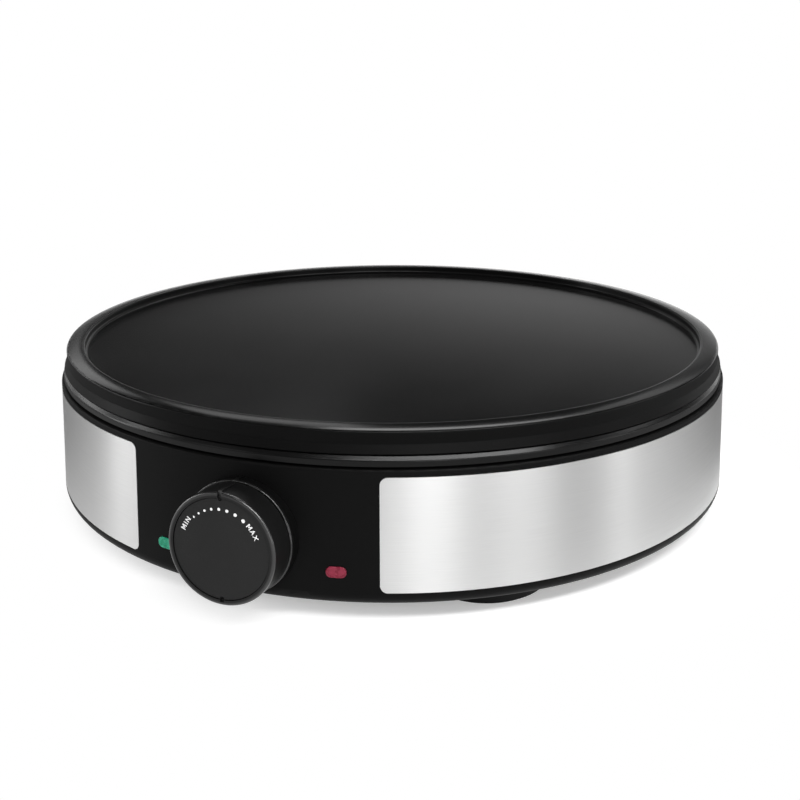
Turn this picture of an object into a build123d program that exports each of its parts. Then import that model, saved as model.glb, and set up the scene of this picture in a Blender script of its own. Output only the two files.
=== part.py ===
from build123d import *
import os
from math import cos, degrees, radians, sin, tan

# Electric crepe maker: a round cast hot plate on a drum-shaped housing, with a thermostat knob in front.
# Millimetres, +Z up. The origin is on the hot plate's vertical axis at floor level, and the knob faces -Y.
# An azimuth is in degrees from the front (-Y), positive towards +X. An outline is a list of (radius, z).

# ---- Driving dimensions ----------------------------------------------------------------------------

overall_h = 74.4        # floor to the top of the plate's rim
ground_gap = 7.5        # floor to the underside of the housing
clear = 0.05            # radial clearance of shafts, screws and pins in their holes
slip = 0.15             # clearance between mouldings that slide into each other

# Hot plate
plate_r = 150.0
rim_w = 8.0             # top of the raised rim
rim_fall = 0.3          # how far the rim's top falls towards its outer edge
rim_round = 1.2         # outer edge of the rim
rim_in_round = 0.8      # inner edge of the rim
dish_depth = 3.7        # rim top to cooking surface
dish_round = 1.3        # foot of the rim, inside the dish
web_t = 4.5             # plate thickness under the cooking surface
skirt_h = 9.0           # rim top to the lower edge of the skirt
skirt_straight = 5.5    # upright part of the skirt, below the rim top
skirt_flare = 1.9       # how far the skirt's lower edge stands out past the rim
skirt_w = 5.0           # radial width of the skirt's lower edge

# Trim ring
ring_overhang = 2.3     # past the hot plate's rim
ring_h = 4.2            # height of the visible lip
ring_gap = 0.35         # air gap under the plate's skirt
ring_w = 5.3            # radial width of the lip
ring_round = 1.0
groove_h = 0.8          # dark groove between the ring and the housing
groove_depth = 1.3      # groove's floor behind the ring's lip
collar_h = 4.0          # locating collar inside the housing
collar_t = 2.0

# Housing
wall_past_ring = 1.15   # top of the wall past the ring's lip
wall_lean = 3.0         # degrees the wall leans outwards towards its foot
wall_t = 2.8
wall_top_round = 0.7
flange_t = 2.5          # top flange that carries the trim ring
bottom_round = 4.8      # rounded lower edge
lip_w = 2.0             # flat of the lower edge outside the base cover
ledge_t = 2.1           # ledge above the base cover
ledge_w = 3.2           # how far the ledge reaches in over the cover

# Stainless panels
panel_drop = 2.55       # top of the wall to the top of the panel
panel_lift = 5.7        # underside of the housing to the foot of the panel
panel_t = 0.6
panel_gap = 0.25        # shadow gap round the panel
panel_from = 19.1       # azimuth of the edge near the knob
panel_to = 160.9        # azimuth of the edge near the cord outlet
panel_corner = 3.0
tab_azimuths = (30.0, 90.0, 150.0)
tab_w = 6.0
tab_t = 0.6
tab_reach = 2.0         # how far a tab stands in past the wall
tab_inset = 7.0         # panel edge to tab

# Base cover
cover_t = 2.5
cover_round = 0.6
foot_azimuths = (38.0, 142.0, 218.0, 322.0)
foot_inset = 27.8       # cover's edge to the middle of each foot
foot_flare = 2.2        # how much a foot widens towards the cover
foot_lift = 1.6         # floor to the moulded foot
pad_r = 23.5
pad_wall = 2.0          # moulded foot outside its pad
pad_seat = 2.0          # depth of the pad's recess
pad_round = 0.7
pad_stem_r = 3.0
pad_stem_top = 1.0      # stem end above the cover
vent_count = 5
vent_pitch = 9.0
vent_w = 3.0
vent_len = 50.0
vent_x = 100.0

# Pillars that carry the hot plate
pillar_azimuths = (45.0, 135.0, 225.0, 315.0)
pillar_pitch_r = 70.0
tower_r = 7.0
tower_h = 20.0          # above the cover
tower_bore_h = 4.5      # underside of the cover to the screw head's seat, above the cover's inner face
standoff_r = 5.0
plate_boss_r = 7.0
plate_boss_h = 14.5
stud_len = 10.0         # thread in each plate boss
screw_grip = 12.0       # thread of the pillar screw in the standoff

# Heat shield
shield_gap = 9.0        # trim ring's bore to the shield's rim
shield_t = 0.8
shield_rim_h = 7.0
shield_hole_r = 6.5     # round each leg of the element

# Heating element
element_r = 100.0
tube_r = 4.0
leg_azimuth = 12.0      # degrees from the rear to each end of the ring
leg_bend_r = 12.0
leg_end_z = 42.75
land_w = 16.0
land_h = 3.0
land_clear_x = 28.0     # half width of the gap in the land where the legs turn down
bead_h = 3.0
pin_r = 1.6
pin_len = 10.0

# Straps under the element
strap_azimuths = (0.0, 75.0, 150.0, 210.0, 285.0)
strap_offset = 14.0     # element's centre line to the strap's screw, inwards
strap_boss_r = 5.0
strap_in = 6.0          # strap end inside the screw
strap_out = 20.0        # strap end outside the screw
strap_w = 10.0
strap_t = 1.5
strap_past = 2.0        # bulb's strap past the bulb

# Screws
m4_r = 2.0
m4_head_r = 3.5
m4_head_h = 2.4
m3_r = 1.5
m3_head_r = 2.8
m3_head_h = 1.8
drill = 1.0             # how much deeper a blind hole is than its screw
screw_stop = 2.0        # tips of the strap screws short of the plate's web
root = 1.0              # how far a boss or blade reaches into the piece that it grows from
cross_w = 0.8           # cross recess in every screw head
cross_depth = 1.1

# Knob, in its own frame: z = 0 on the front face, +Z outwards
knob_proud = 16.8       # wall to the knob's front face
knob_drop = 0.75        # knob's axis below the middle of the wall
knob_r = 21.4
knob_depth = 12.1
knob_wall = 1.9
knob_edge_round = 0.8
knob_face_t = 2.0       # web behind the scale disc
knob_seam = 0.25        # running gap to the boss
knob_rim_w = 2.0        # knob's edge outside the scale disc's recess
dial_t = 1.0
dial_sunk = 0.4         # scale disc below the knob's edge
dial_gap = 0.15
hub_r = 6.0
hub_gap = 2.0           # hub's end to the boss floor
ridge_w = 1.5           # pointer ridge along the knob's top
ridge_h = 0.7
notch_w = 1.5
notch_depth = 0.9
notch_reach = 1.0       # how far the notches enter the scale disc

# Boss behind the knob
boss_step = 0.6         # boss past the knob's edge
boss_round = 0.5
boss_sunk = 0.92        # wall's inner face to the boss floor
boss_floor_t = 3.5
head_gap = 0.9          # thermostat's screw heads to the wall of the boss
index_w = 1.5           # index ridge on top of the boss
index_h = 0.5

# Thermostat
bracket_h = 24.0
bracket_t = 1.5
bracket_edge = 3.0      # middle of a screw to the bracket's end
thermostat_w = 34.0
thermostat_h = 24.0
thermostat_d = 22.0
thermostat_round = 1.2
bush_r = 5.0
bush_proud = 1.0        # bush past the boss floor
screw_x = 14.0          # half the spacing of the thermostat screws
spindle_r = 3.0
spindle_cover = 3.2     # knob moulding between the scale disc and the spindle
spindle_sunk = 14.0     # length inside the thermostat
flat_x = 2.0            # spindle axis to its flat
clip_t = 0.4
clip_w = 3.2
clip_len = 12.0
clip_inset = 1.0        # hub's end to the clip
spade_x = 10.0
spade_w = 6.3
spade_t = 0.8
spade_len = 8.0

# Bulb and capillary
bulb_y = -35.0
bulb_r = 3.0
bulb_len = 50.0
bulb_pad_w = 14.0
bulb_pad_past = 2.0     # pad past each end of the bulb
bulb_strap_w = 12.0
bulb_screw_off = 11.0   # bulb axis to the strap's screw
capillary_r = 0.8
capillary_up = 8.0      # above the thermostat's axis
capillary_hole_r = 4.0
capillary_turn = 13.0   # bulb's end to the capillary's upright stretch
capillary_lead = 16.0   # straight stretch behind the thermostat
capillary_rise = 8.0    # height gained on the way to the upright stretch

# Pilot lamps, in frames of their own: z = 0 on the wall's outer face, +Z outwards
lamp_azimuth = 13.2
lamp_z = 20.95
lens_w = 7.8
lens_h = 4.4
lens_proud = 0.5
lens_round = 0.35
lens_flange = 1.4       # round the lens, behind the wall
lens_flange_t = 1.2
lamp_seat_t = 1.0       # flat seat inside the wall
lens_tail_r = 2.0
lens_tail_len = 8.0
holder_t = 1.2
holder_len = 19.0
neon_len = 9.0

# Cord gland
gland_z = 24.75
gland_bore_r = 3.7
gland_neck_r = 6.5
gland_flange_r = 9.5
gland_flange_t = 3.0
gland_nose_r = 8.0
gland_tip_r = 6.0
gland_nose_len = 8.0
gland_boss_r = 12.0
gland_boss_proud = 1.2
gland_boss_in = 1.5
gland_back_t = 2.5
gland_back_r = 8.5
gland_round = 1.0

# Cover screws
cover_screw_azimuths = (68.0, 112.0, 248.0, 292.0)
cover_screw_inset = 7.04
cover_boss_r = 4.5
cover_boss_h = 18.0
cover_boss_cap = 1.0    # closed end of each screw boss
cover_screw_len = 14.0
countersink_h = 1.9
countersink_r = 3.9
rib_t = 3.0

# Terminal block and wiring
block_behind = 21.7     # element's legs to the middle of the terminal block
block_w = 46.0
block_d = 16.0
block_h = 14.0
block_round = 1.0
block_floor_t = 2.0
block_port_z = 7.0      # ports above the block's foot
port_lead = 7.0         # straight stretch of each wire out of its port
block_screw_x = (-18.0, -9.0, 0.0, 9.0, 18.0)
connector_w = 8.0
connector_t = 4.0
connector_len = 12.0
connector_gap = 1.0     # thermostat to the connectors
sleeve_r = 3.2          # connector on a terminal pin
sleeve_len = 10.0
pin_grip = 4.0          # pin inside its connector
wire_r = 1.2
lead_r = 1.5
wire_lift = 1.4         # wires above the cover
wire_drop = 2.0         # first step of a wire down to the cover
spade_lead = 15.0       # straight stretch of each wire behind its spade connector
lamp_lead = 12.0        # straight stretch of each lead behind its lamp
lane_x = 20.0           # live wire's lane along the cover
lead_lane_x = 28.0      # lamp leads' lanes
lead_bow = 1.0          # how far those lanes bow outwards
lane_y = 20.0           # plate axis to where the lanes start to bend
fuse_r = 2.5
fuse_len = 18.0
lug_x, lug_y = -30.0, 80.0
lug_r = 4.5
lug_t = 0.8
barrel_r = 1.8
barrel_len = 6.0
nut_r = 3.2
nut_h = 2.2
tip_past = 0.5          # earth screw's tip past its nut

# ---- Places worked out from them ---------------------------------------------------------------------

cook_z = overall_h - dish_depth
web_z = cook_z - web_t
skirt_z = overall_h - skirt_h
skirt_r = plate_r + skirt_flare
ring_r = plate_r + ring_overhang
ring_top = skirt_z - ring_gap
ring_low = ring_top - ring_h
ring_in_r = ring_r - ring_w
wall_top = ring_low - groove_h
wall_top_r = ring_r + wall_past_ring
flange_in_r = ring_in_r + collar_t + slip
panel_top = wall_top - panel_drop
panel_low = ground_gap + panel_lift
cover_top = ground_gap + cover_t


def wall_r(z):
    """Radius of the wall's outer face at a height."""
    return wall_top_r + (wall_top - z) * tan(radians(wall_lean))


cover_r = wall_r(ground_gap) - bottom_round - lip_w - slip
ledge_in_r = cover_r - ledge_w
foot_pitch_r = cover_r - foot_inset
foot_low_r = pad_r + pad_wall
foot_top_r = foot_low_r + foot_flare
cover_screw_r = cover_r - cover_screw_inset
shield_r = ring_in_r - shield_gap
strap_pitch_r = element_r - strap_offset
capillary_x = bulb_len / 2 + capillary_turn
land_z = web_z - land_h
strap_top = land_z - tube_r
shield_top = web_z - plate_boss_h
shield_low = shield_top - shield_t
standoff_low = cover_top + tower_h
pillar_seat = ground_gap + tower_bore_h
knob_z = (wall_top + ground_gap) / 2 - knob_drop
knob_reach = wall_r(knob_z) + knob_proud
dial_r = knob_r - knob_rim_w - dial_gap
boss_r = knob_r + boss_step
boss_front = knob_depth + knob_seam
boss_floor = knob_proud + wall_t + boss_sunk
boss_bore_r = screw_x + m4_head_r + head_gap
bush_front = boss_floor - bush_proud
hub_end = boss_floor - hub_gap
bracket_w = 2 * (screw_x + bracket_edge)
bracket_front = boss_floor + boss_floor_t
thermostat_front = bracket_front + bracket_t
thermostat_back = thermostat_front + thermostat_d
dial_back = dial_sunk + dial_t
spindle_front = dial_back + spindle_cover
wire_z = cover_top + wire_lift + wire_r
lens_seat = wall_t + lamp_seat_t
lens_back = lens_seat + lens_flange_t
spade_end = -thermostat_back - connector_gap - connector_len
pin_end = leg_end_z - bead_h - pin_len
sleeve_low = pin_end + pin_grip - sleeve_len
block_end_x = block_screw_x[-1]
port_z = cover_top + block_port_z

ON_FOOT = (Align.CENTER, Align.CENTER, Align.MIN)
knob_frame = Plane(
    origin=(0, -knob_reach, knob_z),
    x_dir=(1, 0, 0),
    z_dir=(0, -cos(radians(wall_lean)), sin(radians(wall_lean))),
)
gland_frame = Plane(
    origin=(0, wall_r(gland_z) + gland_boss_proud, gland_z), x_dir=(-1, 0, 0), z_dir=(0, 1, 0)
)


# ---- Shapes that many pieces share -------------------------------------------------------------------

def spot(azimuth, r, z=0.0):
    """The place at an azimuth and radius, turned so that its -Y looks outwards."""
    a = radians(azimuth)
    return Location((r * sin(a), -r * cos(a), z), (0, 0, azimuth))


def wall_frame(azimuth, z):
    """A frame on the wall's outer face: x along the wall, y up it, z straight out."""
    a, lean = radians(azimuth), radians(wall_lean)
    return Plane(
        origin=(wall_r(z) * sin(a), -wall_r(z) * cos(a), z),
        x_dir=(cos(a), sin(a), 0),
        z_dir=(sin(a) * cos(lean), -cos(a) * cos(lean), sin(lean)),
    )


def turned(outline, rounds=()):
    """Revolves an outline about the vertical axis, with some of its corners rounded first."""
    face = make_face(Polyline(*outline, close=True))
    for corner, radius in rounds:
        face = fillet(face.vertices().sort_by_distance(corner)[0], radius)
    return revolve(Plane.XZ * face, Axis.Z)


def rod(r, low, high):
    """An upright cylinder between two heights."""
    return Pos(0, 0, low) * Cylinder(r, high - low, align=ON_FOOT)


def block(x, y, low, high):
    """An upright box between two heights."""
    return Pos(0, 0, low) * Box(x, y, high - low, align=ON_FOOT)


def cross_recess(low, high):
    return block(cross_w, 4 * cross_w, low, high) + block(4 * cross_w, cross_w, low, high)


def screw(shank_r, shank_len, head_r, head_h):
    """A pan-head screw that points up: its head's seat is at z = 0."""
    head = rod(head_r, -head_h, 0)
    head = fillet(head.edges().sort_by(Axis.Z)[0], head_h / 3)
    return head + rod(shank_r, 0, shank_len) - cross_recess(-head_h, cross_depth - head_h)


def tube(points, r):
    """A round tube along straight runs, each corner turned on as large an arc as its runs allow."""
    points = [Vector(*p) for p in points]
    runs = [b - a for a, b in zip(points, points[1:])]
    radii = [
        0.45 * min(a.length, b.length) / tan(radians(a.get_angle(b)) / 2)
        for a, b in zip(runs, runs[1:])
    ]
    path = FilletPolyline(*points, radius=radii) if radii else Line(*points)
    return sweep(Plane(path @ 0, z_dir=path % 0) * Circle(r), path=path)


# ---- Hot plate and what hangs on it ------------------------------------------------------------------

def make_hot_plate():
    rim_in_r = plate_r - rim_w
    rim_edge = (plate_r, overall_h - rim_fall)
    skirt_in_r = skirt_r - skirt_w
    plate = turned(
        [
            (0, cook_z), (rim_in_r, cook_z), (rim_in_r, overall_h), rim_edge,
            (plate_r, overall_h - skirt_straight), (skirt_r, skirt_z), (skirt_in_r, skirt_z),
            (skirt_in_r, web_z), (0, web_z),
        ],
        [((rim_in_r, cook_z), dish_round), ((rim_in_r, overall_h), rim_in_round), (rim_edge, rim_round)],
    )
    land = rod(element_r + land_w / 2, land_z, web_z) - rod(element_r - land_w / 2, land_z, web_z)
    land -= Pos(0, element_r, 0) * block(2 * land_clear_x, 2 * land_w, land_z, web_z)
    plate += land
    plate += Pos(0, bulb_y, 0) * block(bulb_len + 2 * bulb_pad_past, bulb_pad_w, land_z, web_z)
    plate += Pos(0, bulb_y - bulb_screw_off, 0) * rod(strap_boss_r, land_z - bulb_r, web_z)
    for azimuth in strap_azimuths:
        plate += spot(azimuth, strap_pitch_r) * rod(strap_boss_r, strap_top, web_z)
    for azimuth in pillar_azimuths:
        plate += spot(azimuth, pillar_pitch_r) * rod(plate_boss_r, shield_top, web_z)
        stud_hole = rod(m4_r + clear, shield_top, shield_top + stud_len + drill)
        plate -= spot(azimuth, pillar_pitch_r) * stud_hole
    hole_top = web_z - screw_stop + drill
    for azimuth in strap_azimuths:
        plate -= spot(azimuth, strap_pitch_r) * rod(m4_r + clear, strap_top, hole_top)
    plate -= Pos(0, bulb_y - bulb_screw_off, 0) * rod(m4_r + clear, land_z - bulb_r, hole_top)
    plate -= Pos(0, 0, land_z) * Torus(element_r, tube_r + clear)
    groove = Rot(0, 90, 0) * rod(bulb_r + clear, -bulb_len, bulb_len)
    return plate - Pos(0, bulb_y, land_z) * groove


def element_path():
    """Centre line of the heating tube: up one leg, round the ring, and down the other leg."""
    ring_end = 180 - leg_azimuth
    a = radians(ring_end)
    out = Vector(element_r * sin(a), -element_r * cos(a), land_z)
    along = Vector(cos(a), sin(a), 0)
    down = Vector(0, 0, -leg_bend_r)
    turn = radians(45)
    middle = out + along * leg_bend_r * sin(turn) + down * (1 - cos(turn))
    low = out + along * leg_bend_r + down
    foot = Vector(low.X, low.Y, leg_end_z)

    def left(p):
        return Vector(-p.X, p.Y, p.Z)

    front = Vector(0, -element_r, land_z)
    path = Line(left(foot), left(low)) + ThreePointArc(left(low), left(middle), left(out))
    path += ThreePointArc(left(out), front, out)
    path += ThreePointArc(out, middle, low) + Line(low, foot)
    return path, foot


element_line, leg_foot = element_path()


def make_heating_element():
    start = Vector(-leg_foot.X, leg_foot.Y, leg_end_z)
    return sweep(Plane(start, z_dir=(0, 0, 1)) * Circle(tube_r), path=element_line)


def make_terminal_pins():
    """A ceramic bead and a threaded pin on each leg of the element."""
    pin = rod(tube_r, leg_end_z - bead_h, leg_end_z) + rod(pin_r, leg_end_z - bead_h - pin_len, leg_end_z)
    return [Pos(x, leg_foot.Y, 0) * pin for x in (-leg_foot.X, leg_foot.X)]


def make_element_straps():
    length = strap_in + strap_out
    strap = Pos(0, (strap_in - strap_out) / 2, 0) * block(strap_w, length, strap_top - strap_t, strap_top)
    strap = fillet(strap.edges().filter_by(Axis.Z), strap_w / 5)
    strap -= rod(m4_r + clear, strap_top - strap_t, strap_top)
    return [spot(azimuth, strap_pitch_r) * strap for azimuth in strap_azimuths]


def make_strap_screws():
    length = web_z - strap_top - screw_stop + strap_t
    body = screw(m4_r, length, m4_head_r, m4_head_h)
    return [spot(azimuth, strap_pitch_r, strap_top - strap_t) * body for azimuth in strap_azimuths]


def make_thermostat_bulb():
    bulb = rod(bulb_r, -bulb_len / 2, bulb_len / 2)
    bulb = fillet(bulb.edges(), bulb_r / 2)
    return Pos(0, bulb_y, land_z) * Rot(0, 90, 0) * bulb


def make_bulb_strap():
    top = land_z - bulb_r
    length = bulb_screw_off + strap_in + bulb_r + strap_past
    strap = block(bulb_strap_w, length, top - strap_t, top)
    strap = fillet(strap.edges().filter_by(Axis.Z), bulb_strap_w / 5)
    strap = Pos(0, length / 2 - strap_in, 0) * strap - rod(m4_r + clear, top - strap_t, top)
    return Pos(0, bulb_y - bulb_screw_off, 0) * strap


def make_bulb_screw():
    seat = land_z - bulb_r - strap_t
    body = screw(m4_r, web_z - screw_stop - seat, m4_head_r, m4_head_h)
    return Pos(0, bulb_y - bulb_screw_off, seat) * body


def make_heat_shield():
    shield = rod(shield_r, shield_low, shield_top)
    rim = rod(shield_r, shield_low, shield_top + shield_rim_h)
    shield += rim - rod(shield_r - shield_t, shield_low, shield_top + shield_rim_h)
    for azimuth in pillar_azimuths:
        shield -= spot(azimuth, pillar_pitch_r) * rod(m4_r + clear, shield_low, shield_top)
    for x in (-leg_foot.X, leg_foot.X):
        shield -= Pos(x, leg_foot.Y, 0) * rod(shield_hole_r, shield_low, shield_top)
    shield -= Pos(capillary_x, bulb_y, 0) * rod(capillary_hole_r, shield_low, shield_top)
    return shield - Pos(lug_x, lug_y, 0) * rod(m3_r + clear, shield_low, shield_top)


def make_plate_standoffs():
    pillar = rod(standoff_r, standoff_low, shield_low) + rod(m4_r, shield_low, shield_top + stud_len)
    pillar -= rod(m4_r + clear, standoff_low, standoff_low + screw_grip + drill)
    return [spot(azimuth, pillar_pitch_r) * pillar for azimuth in pillar_azimuths]


def make_pillar_screws():
    length = standoff_low - pillar_seat + screw_grip
    body = screw(m4_r, length, m4_head_r, m4_head_h)
    return [spot(azimuth, pillar_pitch_r, pillar_seat) * body for azimuth in pillar_azimuths]


# ---- Casing ------------------------------------------------------------------------------------------

def make_trim_ring():
    collar_r = ring_in_r + collar_t
    groove_r = ring_r - groove_depth
    return turned(
        [
            (ring_in_r, ring_top), (ring_r, ring_top), (ring_r, ring_low), (groove_r, ring_low),
            (groove_r, wall_top), (collar_r, wall_top), (collar_r, wall_top - collar_h),
            (ring_in_r, wall_top - collar_h),
        ],
        [((ring_r, ring_top), ring_round), ((ring_r, ring_low), ring_round / 3)],
    )


def wall_band(azimuth, depth, proud, grow):
    """The stretch of wall that a panel covers, as a shell with round corners from an azimuth on."""
    high, low = panel_top + grow, panel_low - grow
    section = make_face(Polyline(
        (wall_r(high) - depth, high), (wall_r(high) + proud, high),
        (wall_r(low) + proud, low), (wall_r(low) - depth, low), close=True,
    ))
    extra = degrees(grow / wall_r(panel_low))
    band = revolve(Plane.XZ * section, Axis.Z, panel_to - panel_from + 2 * extra)
    corners = band.edges().filter_by(GeomType.LINE).sort_by(SortBy.LENGTH)[:4]
    return Rot(0, 0, azimuth - extra - 90) * fillet(corners, panel_corner + grow)


def tab_places(first):
    """A frame on the wall for each of a panel's fixing tabs."""
    heights = (panel_top - tab_inset, panel_low + tab_inset)
    return [wall_frame(first + a - panel_from, z) for a in tab_azimuths for z in heights]


def make_steel_panel(first):
    panel = wall_band(first, panel_t, 0, 0)
    for place in tab_places(first):
        panel += place * block(tab_w, tab_t, -wall_t - tab_reach, -panel_t / 2)
    return panel


right_panel_start = panel_from
left_panel_start = 360 - panel_to


def make_housing():
    ledge_top = cover_top + ledge_t
    flange_low = wall_top - flange_t
    lip_r = cover_r + slip
    housing = turned(
        [
            (wall_top_r, wall_top), (wall_r(ground_gap), ground_gap), (lip_r, ground_gap), (lip_r, cover_top),
            (ledge_in_r, cover_top), (ledge_in_r, ledge_top), (wall_r(ledge_top) - wall_t, ledge_top),
            (wall_r(flange_low) - wall_t, flange_low), (flange_in_r, flange_low), (flange_in_r, wall_top),
        ],
        [((wall_top_r, wall_top), wall_top_round), ((wall_r(ground_gap), ground_gap), bottom_round)],
    )
    knob_boss = rod(boss_r, -bracket_front, -boss_front)
    knob_boss = fillet(knob_boss.edges().sort_by(Axis.Z)[-1], boss_round)
    index = Pos(0, boss_r, 0) * block(index_w, 2 * index_h, -boss_floor, -boss_front - boss_round)
    housing += knob_frame * (knob_boss + index)
    cord_boss = rod(gland_boss_r, -wall_t - gland_boss_proud - gland_boss_in, 0)
    housing += gland_frame * fillet(cord_boss.edges().sort_by(Axis.Z)[-1], gland_boss_proud / 2)
    for azimuth in (-lamp_azimuth, lamp_azimuth):
        seat = block(lens_w + 4 * lens_flange, lens_h + 4 * lens_flange, -lens_seat, -wall_t / 2)
        housing += wall_frame(azimuth, lamp_z) * seat
    post_top = cover_top + cover_boss_h
    web_len = wall_r(post_top) - wall_t / 2 - cover_screw_r
    post = rod(cover_boss_r, cover_top, post_top)
    post += Pos(0, -web_len / 2, 0) * block(rib_t, web_len, cover_top, post_top)
    for azimuth in cover_screw_azimuths:
        housing += spot(azimuth, cover_screw_r) * post
        housing -= spot(azimuth, cover_screw_r) * rod(m4_r + clear, cover_top, post_top - cover_boss_cap)
    housing -= knob_frame * rod(boss_bore_r, -boss_floor, 0)
    housing -= knob_frame * rod(bush_r + clear, -bracket_front, -boss_floor)
    for x in (-screw_x, screw_x):
        housing -= knob_frame * Pos(x, 0, 0) * rod(m4_r + clear, -bracket_front, -boss_floor)
    housing -= gland_frame * rod(gland_neck_r + clear, -wall_t - gland_boss_proud - gland_boss_in, 0)
    lens_hole = extrude(SlotOverall(lens_w + 2 * clear, lens_h + 2 * clear), -lens_seat - lens_proud)
    for azimuth in (-lamp_azimuth, lamp_azimuth):
        housing -= wall_frame(azimuth, lamp_z) * Pos(0, 0, lens_proud) * lens_hole
    for first in (right_panel_start, left_panel_start):
        housing -= wall_band(first, panel_t + slip, wall_t, panel_gap)
        for place in tab_places(first):
            slot = block(tab_w + 2 * clear, tab_t + 2 * clear, -wall_t - tab_reach, 0)
            housing -= place * slot
    return housing


def foot_frames():
    return [spot(azimuth, foot_pitch_r) for azimuth in foot_azimuths]


def make_base_cover():
    cover = turned([(0, ground_gap), (cover_r, ground_gap), (cover_r, cover_top), (0, cover_top)],
                   [((cover_r, ground_gap), cover_round)])
    foot_h = ground_gap - foot_lift
    for place in foot_frames():
        cover += place * Pos(0, 0, foot_lift) * Cone(foot_low_r, foot_top_r, foot_h, align=ON_FOOT)
    for azimuth in pillar_azimuths:
        cover += spot(azimuth, pillar_pitch_r) * rod(tower_r, cover_top, standoff_low)
        cover -= spot(azimuth, pillar_pitch_r) * rod(m4_r + clear, ground_gap, standoff_low)
        cover -= spot(azimuth, pillar_pitch_r) * rod(m4_head_r + slip, ground_gap, pillar_seat)
    for place in foot_frames():
        cover -= place * rod(pad_r + slip, foot_lift, foot_lift + pad_seat)
        cover -= place * rod(pad_stem_r + clear, foot_lift, cover_top)
    for azimuth in cover_screw_azimuths:
        sink = Cone(countersink_r + clear, m4_r + clear, countersink_h, align=ON_FOOT)
        cover -= spot(azimuth, cover_screw_r, ground_gap) * sink
        cover -= spot(azimuth, cover_screw_r) * rod(m4_r + clear, ground_gap, cover_top)
    slot = extrude(SlotOverall(vent_len, vent_w), cover_t)
    for side in (-1, 1):
        for i in range(vent_count):
            x = side * vent_x + (i - (vent_count - 1) / 2) * vent_pitch
            cover -= Pos(x, 0, ground_gap) * Rot(0, 0, 90) * slot
    return cover


def make_foot_pad(place):
    pad = turned([(0, 0), (pad_r, 0), (pad_r, foot_lift + pad_seat), (0, foot_lift + pad_seat)],
                 [((pad_r, 0), pad_round)])
    return place * (pad + rod(pad_stem_r, 0, cover_top + pad_stem_top))


def make_cover_screws():
    body = Cone(countersink_r, m4_r, countersink_h, align=ON_FOOT) + rod(m4_r, 0, cover_screw_len)
    body -= cross_recess(0, cross_depth)
    return [spot(azimuth, cover_screw_r, ground_gap) * body for azimuth in cover_screw_azimuths]


# ---- Knob and thermostat -----------------------------------------------------------------------------

def make_knob():
    face_back = dial_back + knob_face_t
    body = turned(
        [
            (0, -dial_back), (dial_r + dial_gap, -dial_back), (dial_r + dial_gap, 0), (knob_r, 0),
            (knob_r, -knob_depth), (knob_r - knob_wall, -knob_depth), (knob_r - knob_wall, -face_back),
            (hub_r, -face_back), (hub_r, -hub_end), (0, -hub_end),
        ],
        [((knob_r, 0), knob_edge_round), ((knob_r, -knob_depth), knob_edge_round / 2)],
    )
    ridge = block(ridge_w, 2 * ridge_h, -knob_depth + knob_edge_round, -knob_edge_round)
    body += Pos(0, knob_r, 0) * fillet(ridge.edges().filter_by(Axis.Z), ridge_h / 2)
    body -= Pos(0, dial_r + knob_wall, 0) * block(notch_w, 2 * knob_wall, -notch_depth, 0)
    body -= Pos(0, -dial_r, 0) * block(notch_w, knob_wall, -notch_depth, 0)
    bore = rod(spindle_r + clear, -hub_end, -spindle_front + clear)
    bore -= Pos(0, spindle_r, 0) * block(
        4 * spindle_r, 2 * (spindle_r - flat_x - clip_t - 2 * clear), -hub_end, 0)
    return knob_frame * (body - bore)


def make_dial_disc():
    disc = rod(dial_r, -dial_back, -dial_sunk)
    disc = fillet(disc.edges().sort_by(Axis.Z)[-1], dial_gap)
    for side in (-1, 1):
        notch = block(notch_w, 2 * notch_reach, -dial_sunk - notch_depth, 0)
        disc -= Pos(0, side * dial_r, 0) * notch
    return knob_frame * disc


def make_thermostat_spindle():
    spindle = rod(spindle_r, -thermostat_front - spindle_sunk, -spindle_front)
    flat = block(4 * spindle_r, 2 * (spindle_r - flat_x), -hub_end, 0)
    return knob_frame * (spindle - Pos(0, spindle_r, 0) * flat)


def make_knob_clip():
    clip_back = clip_inset - hub_end
    clip = block(clip_w, clip_t, clip_back, clip_back + clip_len)
    return knob_frame * Pos(0, flat_x + clear + clip_t / 2, 0) * clip


def make_thermostat_bracket():
    bracket = block(bracket_w, bracket_h, -thermostat_front, -bracket_front)
    bracket = fillet(bracket.edges().filter_by(Axis.Z), bracket_t)
    bracket -= rod(bush_r + clear, -thermostat_front, -bracket_front)
    for x in (-screw_x, screw_x):
        bracket -= Pos(x, 0, 0) * rod(m4_r + clear, -thermostat_front, -bracket_front)
    return knob_frame * bracket


def make_thermostat_body():
    body = block(thermostat_w, thermostat_h, -thermostat_back, -thermostat_front)
    body = fillet(body.edges(), thermostat_round)
    body += rod(bush_r, -thermostat_front - root, -bush_front)
    body -= rod(spindle_r + clear, -thermostat_front - spindle_sunk - clear, -bush_front)
    for x in (-spade_x, spade_x):
        blade = block(spade_w, spade_t, -thermostat_back - spade_len, -thermostat_back + root)
        body += Pos(x, 0, 0) * blade
    return knob_frame * body


def make_thermostat_screws():
    body = Rot(180, 0, 0) * screw(m4_r, boss_floor_t + bracket_t, m4_head_r, m4_head_h)
    return [knob_frame * Pos(x, 0, -boss_floor) * body for x in (-screw_x, screw_x)]


def in_knob_frame(x, y, z):
    """A point of the knob's frame in the whole object's frame."""
    return knob_frame.from_local_coords(Vector(x, y, z))


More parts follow.
